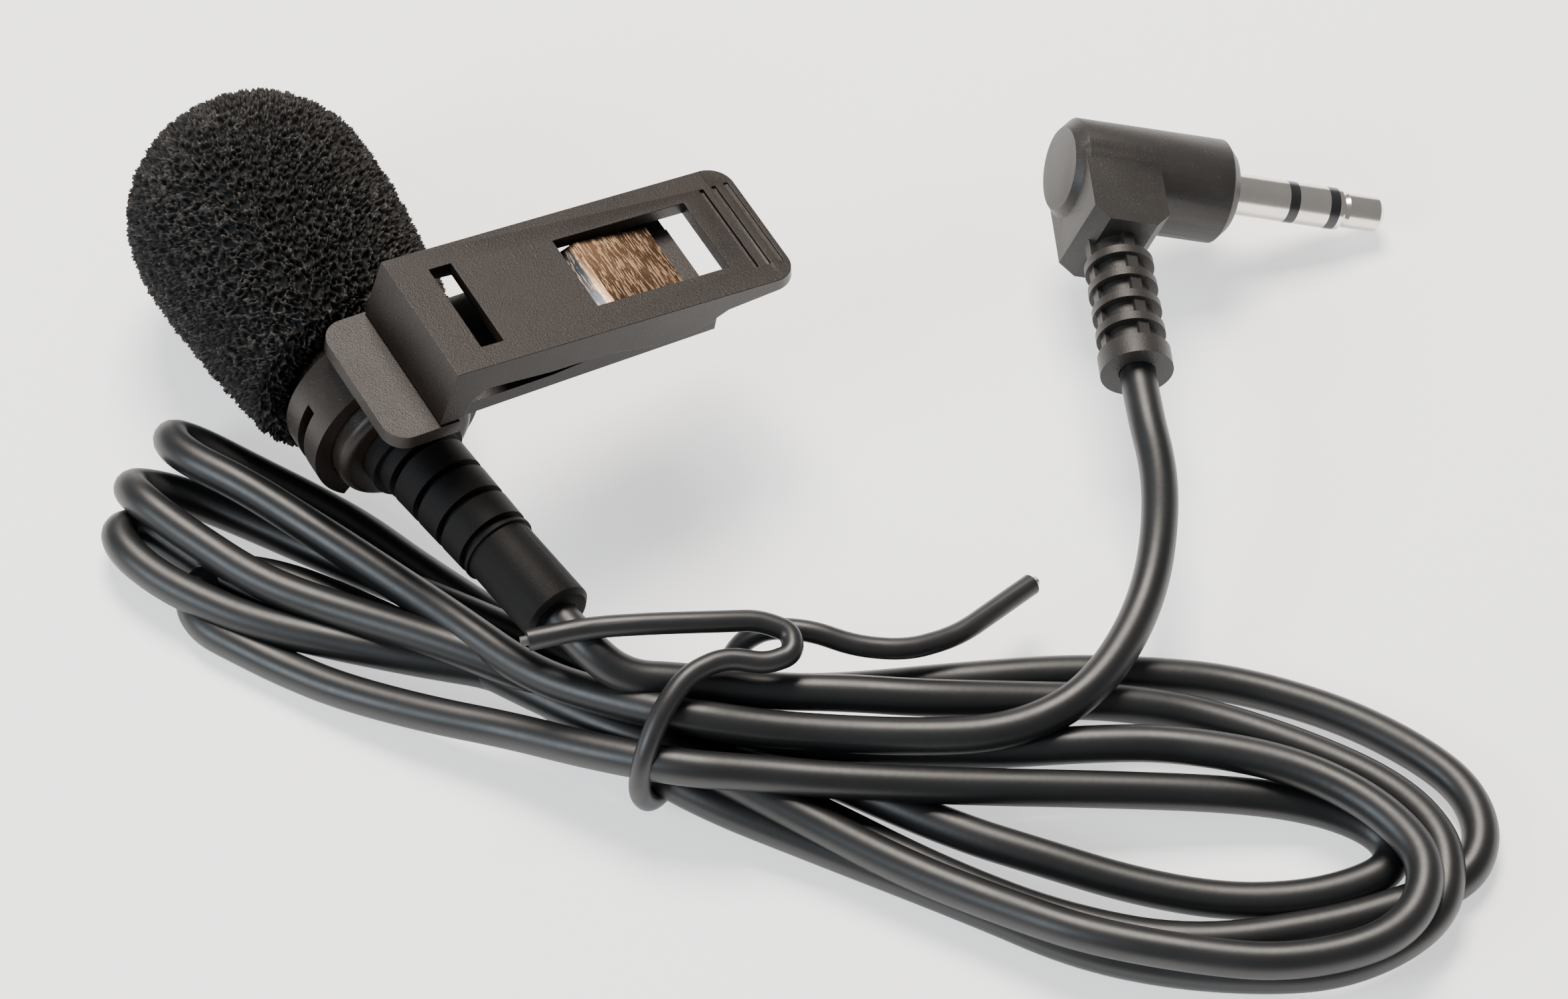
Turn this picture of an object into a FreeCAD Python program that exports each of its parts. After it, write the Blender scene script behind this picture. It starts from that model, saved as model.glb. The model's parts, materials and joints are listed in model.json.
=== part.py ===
import FreeCAD, Part
import math
import os
import re

import Sketcher
from FreeCAD import Placement, Rotation, Vector

# Lavalier microphone with a foam windscreen, a two-lever clothes clip, a hanked cord and a right-angle 3.5 mm plug.
# Frame: +Y runs along the microphone towards the windscreen, +X towards the clip's nose, +Z up from the table.
# Lengths along the microphone are measured from a mark 15.5 mm behind the collar's bend.
# Every size is in mm or degrees.

SIZES = (
    # windscreen
    ("foam_radius", 11.0), ("foam_wall", 2.95), ("foam_length", 28.6), ("foam_gap", 0.3), ("foam_rim", 1.5),
    ("foam_clearance", 0.35),
    # barrel and grille
    ("barrel_radius", 5.9), ("barrel_wall", 0.6), ("barrel_rear", 16.5), ("barrel_front", 41.5),
    ("barrel_lip", 0.8), ("grille_plate", 0.8), ("grille_spigot", 3.0), ("grille_wall", 0.5),
    ("grille_rim", 0.4), ("grille_hole", 0.45), ("inner_circle", 1.6), ("outer_circle", 3.4),
    ("press_clearance", 0.05), ("screen_thickness", 0.3),
    # capsule
    ("capsule_radius", 4.85), ("capsule_length", 4.5), ("capsule_rear", 33.0), ("sound_hole", 1.0),
    ("sound_recess", 0.3), ("gasket_length", 2.5), ("gasket_offset", 1.0), ("board_radius", 4.6),
    ("board_thickness", 0.8), ("solder_radius", 0.7), ("solder_height", 0.5), ("solder_spacing", 1.6),
    ("wire_radius", 0.35), ("wire_spacing", 0.6),
    # cord entry
    ("cord_radius", 1.5), ("cord_clearance", 0.05), ("bush_length", 3.0), ("crimp_length", 2.5),
    ("crimp_wall", 0.6), ("cord_inside", 24.0), ("collar_radius", 4.0), ("collar_rear", 14.9),
    ("boot_pivot", 15.5), ("boot_length", 19.75), ("boot_tilt", 7.2), ("rib_radius", 3.5), ("rib_taper", 0.35),
    ("rib_zone", 11.6), ("groove_start", 1.5), ("groove_width", 0.65), ("groove_depth", 0.55),
    ("groove_pitch", 3.05), ("sleeve_radius", 2.9), ("sleeve_rim", 0.4),
    # clip as a whole
    ("clip_slope", 9.5), ("clip_centre", 17.6), ("clip_width", 12.8), ("nose_reach", 31.4),
    ("nose_height", 12.2), ("hinge_reach", 20.5), ("hinge_height", 10.4), ("pin_radius", 0.6),
    ("pin_clearance", 0.05), ("pin_inset", 0.3),
    # lower lever and barrel ring
    ("lever_width", 10.4), ("lever_bottom", 7.2), ("lever_end", 24.9), ("ledge_width", 13.0),
    ("ledge_reach", 5.1), ("ledge_end", 0.8), ("ledge_top", 8.5), ("lever_swell", 9.3), ("lever_tail", 10.0),
    ("ledge_corner", 2.0), ("ring_clearance", 0.1), ("ring_wall", 1.4), ("ring_length", 5.0),
    ("ring_offset", 3.2), ("ring_split", 1.0), ("ring_mouth", 35.0), ("saddle_half", 4.5), ("ear_radius", 1.05),
    ("ear_thickness", 1.0), ("rest_start", 21.8), ("rest_top", 10.2), ("rest_width", 7.0),
    # upper lever
    ("ridge_height", 14.2), ("skirt_wall", 1.0), ("plate_wall", 1.2), ("jaw_wall", 1.6),
    ("jaw_clearance", 0.15), ("nose_wall", 1.2), ("nose_corner", 2.0), ("slot_start", 3.2),
    ("slot_length", 2.0), ("slot_width", 8.7), ("window_start", 14.1), ("window_length", 12.2),
    ("window_width", 7.4), ("grip_start", 28.4), ("grip_pitch", 1.15), ("grip_width", 0.4), ("grip_depth", 0.3),
    ("grip_length", 9.0),
    # spring strip
    ("spring_thickness", 0.3), ("spring_width", 7.0), ("spring_start", 6.2), ("spring_bend", 11.0),
    ("spring_ridge", 16.0), ("spring_end", 22.8),
    # hank, tie and plug places
    ("hank_across", 8.9), ("hank_along", -12.0), ("hank_heading", -30.0), ("tie_radius", 0.875),
    ("core_radius", 0.4), ("core_length", 0.6), ("plug_across", 62.5), ("plug_along", 12.4),
    ("plug_height", 10.5), ("plug_heading", -24.0), ("plug_dip", 20.0),
    # plug moulding
    ("body_radius", 4.35), ("body_rear", 3.9), ("body_front", 10.9), ("body_chamfer", 0.9),
    ("block_half", 3.3), ("block_end", 7.9), ("block_depth", 7.9), ("block_chamfer", 1.2), ("relief_core", 2.1),
    ("relief_end", 20.3), ("relief_ring", 1.8), ("ring_outer", 3.0), ("relief_rib", 2.85),
    ("rib_thickness", 0.75), ("rib_start", 9.4), ("rib_pitch", 2.26), ("spine_half", 0.45),
    ("bridge_height", 2.55), ("cord_depth", 6.0),
    # plug contacts
    ("plug_radius", 1.75), ("stem_radius", 1.4), ("contact_rear", 4.0), ("sleeve_length", 5.4),
    ("insulator_length", 0.9), ("ring_contact", 2.8), ("tip_length", 4.3), ("tip_flange", 0.35),
    ("tip_neck", 0.35), ("neck_radius", 1.3), ("tip_radius", 1.475), ("tip_chamfer", 0.45), ("rod_radius", 0.5),
    ("ring_bore", 0.7), ("ring_tube", 0.95), ("sleeve_bore", 1.2),
)

# Hank route frame: a runs along the hank, b across it, z up.
MIC_LEAD = ((-4.5, -0.9, 9.3), (-0.5, -0.9, 8.6), (4.0, -0.5, 7.6))
PLUG_LEAD = (
    (13.0, -4.4, 6.7), (18.5, -4.6, 6.7), (24.4, -4.4, 6.8), (28.9, -2.8, 6.9), (32.4, 0.1, 7.0),
    (35.1, 4.4, 7.1), (36.9, 9.0, 7.4), (37.8, 13.9, 8.2), (37.9, 18.8, 9.5),
)
TIE_ROUTE = (
    (-11.9, 0.5, 12.6), (-7.2, 1.7, 12.6), (-2.3, 2.2, 12.4), (2.2, 2.7, 11.9), (6.0, 3.3, 11.2), (8.5, 2.6, 10.6),
    (8.7, 0.7, 10.4), (6.6, -0.3, 10.5), (3.4, 0.0, 11.0), (0.4, -1.8, 11.2), (-1.6, -4.8, 10.4), (-2.9, -7.4, 8.2),
    (-3.4, -8.6, 5.0),
    (-2.6, -7.8, 2.0), (-1.0, -5.2, 1.0), (0.6, -1.4, 1.0), (1.8, 1.6, 1.5), (3.2, 3.6, 3.8), (4.6, 4.2, 6.8),
    (6.6, 4.2, 8.8), (10.0, 3.9, 8.9), (13.6, 3.0, 8.0), (17.6, 2.9, 7.6), (21.6, 4.9, 6.6), (27.6, 10.9, 5.0),
)
FULL_OUTLINE = (
    (64, -11), (59, -2), (49, 4.2), (38, 5.6), (24, 3.8), (10, 1.8), (-4, 3.6), (-13, 9.4), (-21, 16.1), (-29, 21.8),
    (-35, 25.8), (-39.6, 28.2), (-43.8, 26.6), (-46.4, 20), (-45.5, 12.5), (-35.5, 4.8), (-20, -2), (-4, -8.6),
    (10, -13.5), (24, -19.8),
    (38, -25.2), (51, -25.3), (60, -19.5),
)
LEFT_OUTLINE = (
    (-45.2, 20), (-44, 12.7), (-35, 5.6), (-20, -1.5), (-8, -6.3), (-6, -1), (-14, 4), (-24, 12), (-33, 18.5),
    (-40, 24),
)
RIGHT_OUTLINE = (
    (61, -12), (57.8, -19), (51, -24.4), (41, -25), (27, -20), (14, -13.4), (5, -9.5), (4, 0.5), (14, 1.3),
    (26, 1.2), (36, 1), (47, -3), (56, -6.5),
)
MIDDLE_OUTLINE = ((-12, 0.4), (-9, -3.5), (-3, -9), (6, -9.5), (16, -6), (20, -2), (14, 1), (4, 1.2), (-4, 1.7))
TOP_OUTLINE = ((-3.4, 0.8), (-4, -4.5), (0, -5.5), (4, -4.8), (4.5, 0.2), (0, 1))
EYE_OUTLINE = ((26, -10.5), (36, -9.4), (46, -9.3), (53, -11), (52.3, -12.9), (44, -14.7), (34, -13.7))
HANK_LAYERS = ((FULL_OUTLINE, 0.0, 3.0), (LEFT_OUTLINE, 2.0, 6.2), (RIGHT_OUTLINE, 2.0, 6.5),
               (MIDDLE_OUTLINE, 2.0, 8.2), (TOP_OUTLINE, 6.0, 10.0))

MIC_X = "-(nose_reach * cos(clip_slope) + nose_height * sin(clip_slope) - foam_radius) / 2"
FOAM_BASE = "clip_centre + clip_width / 2 + foam_gap"
MIC_Y = ("-(" + FOAM_BASE + " + foam_length + boot_pivot - boot_length * cos(boot_tilt)"
         " - sleeve_radius * sin(boot_tilt)) / 2")
ALONG_MIC = Rotation(Vector(1, 0, 0), -90)
DOC = FreeCAD.newDocument("lavalier_microphone")
SHEET = DOC.addObject("Spreadsheet::Sheet", "Sizes")
NODES = []


def fill_sheet():
    """Put every size into the sheet under its name."""
    for row, (name, size) in enumerate(SIZES, start=1):
        SHEET.set("A%d" % row, name)
        SHEET.set("B%d" % row, str(size))
        SHEET.setAlias("B%d" % row, name)
    DOC.recompute()


def linked(formula):
    """The formula with each size name (words joined by underscores) read from the sheet."""
    return re.sub(r"[a-z]+(?:_[a-z]+)+", lambda name: "Sizes." + name.group(0), formula)


def number(formula):
    """The present value of a formula in size names."""
    return float(SHEET.evalExpression(formula))


def bind(thing, **formulas):
    """Tie properties to formulas; a double underscore stands for a dot."""
    for name, formula in formulas.items():
        thing.setExpression(name.replace("__", "."), linked(formula))


def keep(name, thing):
    """Record a finished sub-part under the name of its file."""
    thing.Label = name
    NODES.append(thing)
    return thing


def on_mic(thing, along="0", across="0", up="0", turn=ALONG_MIC):
    """Stand a piece on the microphone's axis; its own z becomes the microphone's length."""
    thing.Placement = Placement(Vector(), turn)
    bind(thing, Placement__Base__x=MIC_X + " + " + across, Placement__Base__y=MIC_Y + " + " + along,
         Placement__Base__z="foam_radius + " + up)


def on_clip(thing):
    """Put a clip piece on the barrel: x along the lever, y along the microphone, z away from the barrel."""
    thing.Placement = Placement(Vector(), Rotation(Vector(0, 1, 0), 1))
    bind(thing, Placement__Base__x=MIC_X, Placement__Base__y=MIC_Y + " + clip_centre",
         Placement__Base__z="foam_radius", Placement__Rotation__Angle="clip_slope")


def plug_turn():
    """The plug's attitude: heading about z, then the nose dipped."""
    heading = Rotation(Vector(0, 0, 1), number("plug_heading"))
    return heading.multiply(Rotation(Vector(0, 1, 0), number("plug_dip")))


def on_plug(thing):
    """Put a piece of the plug in place: x along the contacts, -y down the strain relief."""
    thing.Placement = Placement(Vector(), plug_turn())
    bind(thing, Placement__Base__x=MIC_X + " + plug_across", Placement__Base__y=MIC_Y + " + plug_along",
         Placement__Base__z="plug_height")


def mic_point(across, along, up=0.0):
    """A point given from the microphone's axis, in the part's frame."""
    return Vector(number(MIC_X) + across, number(MIC_Y) + along, number("foam_radius") + up)


def hank_point(a, b, z):
    """A point of the hank's own frame, in the part's frame."""
    heading = math.radians(number("hank_heading"))
    x = a * math.cos(heading) - b * math.sin(heading)
    y = a * math.sin(heading) + b * math.cos(heading)
    return Vector(number(MIC_X + " + hank_across") + x, number(MIC_Y + " + hank_along") + y, z)


def plug_point(x, y):
    """A point on the plug's two axes, in the part's frame."""
    origin = Vector(number(MIC_X + " + plug_across"), number(MIC_Y + " + plug_along"), number("plug_height"))
    return origin + plug_turn().multVec(Vector(x, y, 0))


def new_sketch(body, role, name, offset="0"):
    """A sketch on one of the body's own planes, moved along its normal."""
    sketch = body.newObject("Sketcher::SketchObject", name)
    plane = [feature for feature in body.Origin.OriginFeatures if feature.Role == role][0]
    sketch.AttachmentSupport = [(plane, "")]
    sketch.MapMode = "FlatFace"
    bind(sketch, AttachmentOffset__Base__z=offset)
    return sketch


def pin_down(sketch, edge, end, x, y):
    """Fix one end of an edge at two formulas measured from the sketch's origin."""
    for kind, formula in (("DistanceX", x), ("DistanceY", y)):
        index = sketch.addConstraint(Sketcher.Constraint(kind, -1, 1, edge, end, number(formula)))
        sketch.setExpression("Constraints[%d]" % index, linked(formula))


def outline(sketch, corners):
    """A closed outline of corners (x, y); a third entry makes the edge after a corner an arc of that radius,
    bulging to the right of the way round."""
    places = [Vector(number(corner[0]), number(corner[1]), 0) for corner in corners]
    edges = []
    for index, corner in enumerate(corners):
        start, end = places[index], places[(index + 1) % len(places)]
        if len(corner) == 3:
            chord = end - start
            radius = number(corner[2])
            height = radius - math.sqrt(max(radius ** 2 - (chord.Length / 2) ** 2, 0))
            middle = (start + end) / 2 + Vector(chord.y, -chord.x, 0).normalize() * height
            edges.append(sketch.addGeometry(Part.Arc(start, middle, end), False))
            ring = sketch.addConstraint(Sketcher.Constraint("Radius", edges[-1], radius))
            sketch.setExpression("Constraints[%d]" % ring, linked(corner[2]))
        else:
            edges.append(sketch.addGeometry(Part.LineSegment(start, end), False))
    for index, edge in enumerate(edges):
        after = (index + 1) % len(edges)
        finish = nearest_end(sketch, edge, places[after])
        start = nearest_end(sketch, edges[after], places[after])
        sketch.addConstraint(Sketcher.Constraint("Coincident", edge, finish, edges[after], start))
        pin_down(sketch, edges[after], start, corners[after][0], corners[after][1])


def nearest_end(sketch, edge, place):
    """1 or 2, whichever end of the edge lies at the place."""
    first = sketch.getPoint(edge, 1).distanceToPoint(place)
    second = sketch.getPoint(edge, 2).distanceToPoint(place)
    return 1 if first < second else 2


def circle(sketch, x, y, radius):
    """A circle with its centre and radius bound to formulas."""
    centre = Vector(number(x), number(y), 0)
    edge = sketch.addGeometry(Part.Circle(centre, Vector(0, 0, 1), number(radius)), False)
    pin_down(sketch, edge, 3, x, y)
    index = sketch.addConstraint(Sketcher.Constraint("Radius", edge, number(radius)))
    sketch.setExpression("Constraints[%d]" % index, linked(radius))


def layer(body, kind, name, role, shape, length, offset="0"):
    """A pad or pocket, equal to both sides of its sketch; the shape is an outline or a (x, y, radius) circle."""
    sketch = new_sketch(body, role, name + "_sketch", offset)
    if isinstance(shape[0], str):
        circle(sketch, *shape)
    else:
        outline(sketch, shape)
    feature = body.newObject("PartDesign::" + kind, name)
    feature.Profile = sketch
    feature.SideType = "Symmetric"
    bind(feature, Length=length)
    DOC.recompute()
    return feature


def box_outline(left, low, right, high):
    """The four corners of a rectangle."""
    return ((left, low), (right, low), (right, high), (left, high))


def spun(body, kind, name, role, corners, axis):
    """A revolution or groove of an outline about an axis of its sketch."""
    sketch = new_sketch(body, role, name + "_sketch")
    outline(sketch, corners)
    feature = body.newObject("PartDesign::" + kind, name)
    feature.Profile = sketch
    feature.ReferenceAxis = (sketch, [axis])
    feature.Angle = 360
    DOC.recompute()
    return feature


def turned(name, corners):
    """A piece turned about the microphone's axis; corners are (distance from the axis, distance along it)."""
    body = DOC.addObject("PartDesign::Body", name)
    spun(body, "Revolution", name + "_turn", "XZ_Plane", corners, "V_Axis")
    on_mic(body)
    return keep(name, body)


def repeat(body, name, original, axis, pitch, count, backwards=False):
    """Copies of a feature at an even pitch along an axis of its sketch."""
    pattern = body.newObject("PartDesign::LinearPattern", name)
    pattern.Originals = [original]
    pattern.Direction = (original.Profile[0], [axis])
    pattern.Reversed = backwards
    pattern.Occurrences = count
    bind(pattern, Length="%s * %d" % (pitch, count - 1))
    body.Tip = pattern
    DOC.recompute()


def round_edges(body, name, radius, chosen):
    """Fillet the edges of the body that pass the test."""
    base = body.Tip
    names = ["Edge%d" % (index + 1) for index, edge in enumerate(base.Shape.Edges) if chosen(edge)]
    fillet = body.newObject("PartDesign::Fillet", name)
    fillet.Base = (base, names)
    bind(fillet, Radius=radius)
    DOC.recompute()


def upright_near(edge, reach):
    """Whether an edge stands up at about this x."""
    box = edge.BoundBox
    return box.ZLength > 0.6 and box.YLength < 0.01 and abs(box.Center.x - reach) < 0.3 and box.XLength < 0.5


def rod(name, radius, length, along):
    """A plain disc or rod on the microphone's axis."""
    piece = DOC.addObject("Part::Cylinder", name)
    bind(piece, Radius=radius, Height=length)
    on_mic(piece, along)
    return keep(name, piece)


def path(points, report=""):
    """Straight runs joined by tangent arcs, each as wide as its two runs allow."""
    edges = []
    radii = []
    last = points[0]
    for before, corner, after in zip(points, points[1:], points[2:]):
        back, ahead = before - corner, after - corner
        reach = 0.45 * min(back.Length, ahead.Length)
        half_turn = (math.pi - back.getAngle(ahead)) / 2
        radius = reach / math.tan(half_turn)
        back.normalize()
        ahead.normalize()
        inward = (back + ahead).normalize()
        middle = corner + inward * (math.hypot(radius, reach) - radius)
        edges.append(Part.LineSegment(last, corner + back * reach).toShape())
        edges.append(Part.Arc(corner + back * reach, middle, corner + ahead * reach).toShape())
        last = corner + ahead * reach
        radii.append(radius)
    edges.append(Part.LineSegment(last, points[-1]).toShape())
    if report:
        print(report, "arc radii", [round(radius, 1) for radius in radii])
    return Part.Wire(edges)


def tube(points, radius, report=""):
    """A round tube along a path, with its volume compared with section times length."""
    wire = path(points, report)
    start = (points[1] - points[0]).normalize()
    section = Part.Wire(Part.makeCircle(radius, points[0], start))
    shape = wire.makePipeShell([section], True, True)
    expected = math.pi * radius ** 2 * wire.Length
    if abs(shape.Volume - expected) > 0.01 * expected:
        raise ValueError("the tube %s has volume %.1f, not %.1f" % (report, shape.Volume, expected))
    if report:
        print(report, "length %.1f mm" % wire.Length)
    return shape


def shaped(name, shape):
    """A sub-part whose shape is worked out here."""
    piece = DOC.addObject("Part::Feature", name)
    piece.Shape = shape
    piece.Placement = Placement()
    return keep(name, piece)


def foam_windscreen():
    """A foam sleeve, wider towards its round nose, bored for the microphone's head."""
    bore = "barrel_radius + foam_clearance"
    base = bore + " + foam_wall"
    tip = FOAM_BASE + " + foam_length"
    depth = "barrel_front + grille_plate + foam_clearance"
    turned("foam_windscreen", (
        (bore, FOAM_BASE), (base + " - foam_rim", FOAM_BASE, "foam_rim"), (base, FOAM_BASE + " + foam_rim"),
        ("foam_radius", tip + " - foam_radius", "foam_radius"), ("0", tip),
        ("0", depth), (bore, depth)))


def microphone_body():
    """The barrel with an inward lip at its rear, and everything that sits inside it."""
    inner = "barrel_radius - barrel_wall"
    lip = "collar_radius + press_clearance"
    shelf = "barrel_rear + barrel_lip"
    turned("mic_barrel", (
        (lip, "barrel_rear"), ("barrel_radius - barrel_lip", "barrel_rear", "barrel_lip"), ("barrel_radius", shelf),
        ("barrel_radius", "barrel_front"), (inner, "barrel_front"), (inner, shelf), (lip, shelf)))
    front_grille(inner)
    rod("dust_screen", inner + " - press_clearance - grille_wall - press_clearance", "screen_thickness",
        "barrel_front - screen_thickness")
    face = "capsule_rear + capsule_length"
    turned("electret_capsule", (
        ("0", "capsule_rear"), ("capsule_radius", "capsule_rear"), ("capsule_radius", face), ("sound_hole", face),
        ("sound_hole", face + " - sound_recess"), ("0", face + " - sound_recess")))
    gasket = "capsule_rear + gasket_offset"
    turned("capsule_gasket", box_outline("capsule_radius", gasket, inner, gasket + " + gasket_length"))
    rod("capsule_board", "board_radius", "board_thickness", "capsule_rear - board_thickness")
    bore = "cord_radius + cord_clearance"
    turned("rear_bush", box_outline(bore, shelf, inner + " - press_clearance", shelf + " + bush_length"))
    crimp = shelf + " + bush_length"
    turned("cord_crimp", box_outline("cord_radius", crimp, "cord_radius + crimp_wall", crimp + " + crimp_length"))


def front_grille(inner):
    """A perforated cap whose spigot is pushed into the front of the barrel."""
    body = turned("front_grille", (
        ("0", "barrel_front"), (inner + " - press_clearance - grille_wall", "barrel_front"),
        (inner + " - press_clearance - grille_wall", "barrel_front - grille_spigot"),
        (inner + " - press_clearance", "barrel_front - grille_spigot"),
        (inner + " - press_clearance", "barrel_front"), ("barrel_radius", "barrel_front"),
        ("barrel_radius", "barrel_front + grille_plate - grille_rim"),
        ("barrel_radius - grille_rim", "barrel_front + grille_plate"), ("0", "barrel_front + grille_plate")))
    plate = "barrel_front + grille_plate / 2"
    layer(body, "Pocket", "centre_hole", "XY_Plane", ("0", "0", "grille_hole"), "grille_plate * 2", plate)
    for name, ring, count in (("inner_holes", "inner_circle", 6), ("outer_holes", "outer_circle", 12)):
        hole = layer(body, "Pocket", name, "XY_Plane", (ring, "0", "grille_hole"), "grille_plate * 2", plate)
        pattern = body.newObject("PartDesign::PolarPattern", name + "_pattern")
        pattern.Originals = [hole]
        pattern.Axis = (hole.Profile[0], ["N_Axis"])
        pattern.Angle = 360
        pattern.Occurrences = count
        body.Tip = pattern
        DOC.recompute()


def capsule_wiring():
    """Two thin wires from the cord's end to solder joints on the capsule's board."""
    back = number("capsule_rear - board_thickness")
    for side, name in ((-1, "signal"), (1, "ground")):
        joint = DOC.addObject("Part::Cylinder", "solder_joint_" + name)
        bind(joint, Radius="solder_radius", Height="solder_height")
        on_mic(joint, "capsule_rear - board_thickness - solder_height", "solder_spacing * (%d)" % side)
        keep("solder_joint_" + name, joint)
        near, far = side * number("wire_spacing"), side * number("solder_spacing")
        start, end = number("cord_inside"), back - number("solder_height")
        route = [mic_point(near, start), mic_point(near, start + 2.4), mic_point(far, end - 2.6), mic_point(far, end)]
        shaped("lead_wire_" + name, tube(route, number("wire_radius")))


def tail_point(distance):
    """A point on the boot's tilted axis, this far behind the bend."""
    tilt = math.radians(number("boot_tilt"))
    return mic_point(distance * math.sin(tilt), number("boot_pivot") - distance * math.cos(tilt))


def mic_boot():
    """A moulded strain relief: a collar through the barrel's lip, four tapering ribs and a plain sleeve."""
    collar = DOC.addObject("Part::Cylinder", "boot_collar")
    bind(collar, Radius="collar_radius", Height="barrel_rear + barrel_lip - collar_rear")
    on_mic(collar, "collar_rear")
    body = DOC.addObject("PartDesign::Body", "boot_tail")
    spun(body, "Revolution", "boot_turn", "XZ_Plane", (
        ("0", "0"), ("rib_radius", "0"), ("rib_radius - rib_taper", "rib_zone"), ("sleeve_radius", "rib_zone"),
        ("sleeve_radius", "boot_length - sleeve_rim"), ("sleeve_radius - sleeve_rim", "boot_length"),
        ("0", "boot_length")), "V_Axis")
    floor = "rib_radius - rib_taper - groove_depth"
    groove = spun(body, "Groove", "boot_groove", "XZ_Plane", box_outline(
        floor, "groove_start", "rib_radius + groove_depth", "groove_start + groove_width"), "V_Axis")
    repeat(body, "boot_grooves", groove, "V_Axis", "groove_pitch", 4)
    tilt = Rotation(Vector(0, 0, 1), number("boot_tilt"))
    on_mic(body, "boot_pivot", turn=tilt.multiply(Rotation(Vector(1, 0, 0), 90)))
    whole = DOC.addObject("Part::Fuse", "boot_whole")
    whole.Base = collar
    whole.Tool = body
    bore = DOC.addObject("Part::Feature", "boot_bore")
    route = [mic_point(0, number("cord_inside")), mic_point(0, number("boot_pivot")),
             tail_point(number("boot_length") + 2)]
    bore.Shape = tube(route, number("cord_radius + cord_clearance"))
    boot = DOC.addObject("Part::Cut", "mic_boot")
    boot.Base = whole
    boot.Tool = bore
    keep("mic_boot", boot)


def lower_lever():
    """The lever that carries the barrel ring: floor, ledge, saddle, split ring, hinge ears and spring rest."""
    body = DOC.addObject("PartDesign::Body", "clip_lower_lever")
    layer(body, "Pad", "lever", "XZ_Plane", (
        ("-ledge_reach", "lever_bottom"), ("lever_end", "lever_bottom"), ("lever_end", "lever_tail"),
        ("lever_end - 7", "lever_swell"), ("lever_end - 15", "ledge_top"), ("-ledge_reach", "ledge_top")),
        "lever_width")
    layer(body, "Pad", "ledge", "XZ_Plane", box_outline("-ledge_reach", "lever_bottom", "ledge_end", "ledge_top"),
          "ledge_width")
    round_edges(body, "ledge_corners", "ledge_corner", lambda edge: upright_near(edge, -number("ledge_reach"))
                and abs(edge.BoundBox.Center.y) > number("lever_width") / 2)
    bore = "barrel_radius + ring_clearance"
    layer(body, "Pad", "saddle", "XZ_Plane", box_outline("-saddle_half", "barrel_radius - 1.4", "saddle_half",
          "lever_bottom + ring_clearance"), "ring_length", "-ring_offset")
    layer(body, "Pad", "ring", "XZ_Plane", ("0", "0", bore + " + ring_wall"), "ring_length", "-ring_offset")
    layer(body, "Pocket", "ring_bore", "XZ_Plane", ("0", "0", bore), "ledge_width * 2")
    wide = "barrel_radius * 2"
    layer(body, "Pocket", "ring_mouth_cut", "XZ_Plane", (
        ("0", "0"), ("-(%s) * tan(ring_mouth)" % wide, "-(%s)" % wide),
        ("%s * tan(ring_mouth)" % wide, "-(%s)" % wide)),
        "ledge_width * 2")
    layer(body, "Pocket", "ring_split_cut", "XZ_Plane", box_outline("-(%s)" % wide, "-(%s)" % wide, wide,
          "barrel_radius / 2"), "ring_split", "-ring_offset")
    ear_root = "ledge_top + ring_clearance"
    layer(body, "Pad", "ears", "XZ_Plane", box_outline("hinge_reach - ear_radius", ear_root,
          "hinge_reach + ear_radius", "hinge_height"), "lever_width")
    layer(body, "Pad", "ear_tops", "XZ_Plane", ("hinge_reach", "hinge_height", "ear_radius"), "lever_width")
    layer(body, "Pocket", "between_ears", "XZ_Plane", box_outline("hinge_reach - ear_radius * 2",
          "lever_swell + 0.5", "hinge_reach + ear_radius * 2", "hinge_height + ear_radius * 2"),
          "lever_width - ear_thickness * 2")
    layer(body, "Pocket", "pin_hole", "XZ_Plane", ("hinge_reach", "hinge_height", "pin_radius + pin_clearance"),
          "ledge_width * 2")
    layer(body, "Pad", "spring_rest", "XZ_Plane", box_outline("rest_start", "ledge_top", "lever_end", "rest_top"),
          "rest_width")
    on_clip(body)
    keep("clip_lower_lever", body)


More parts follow.
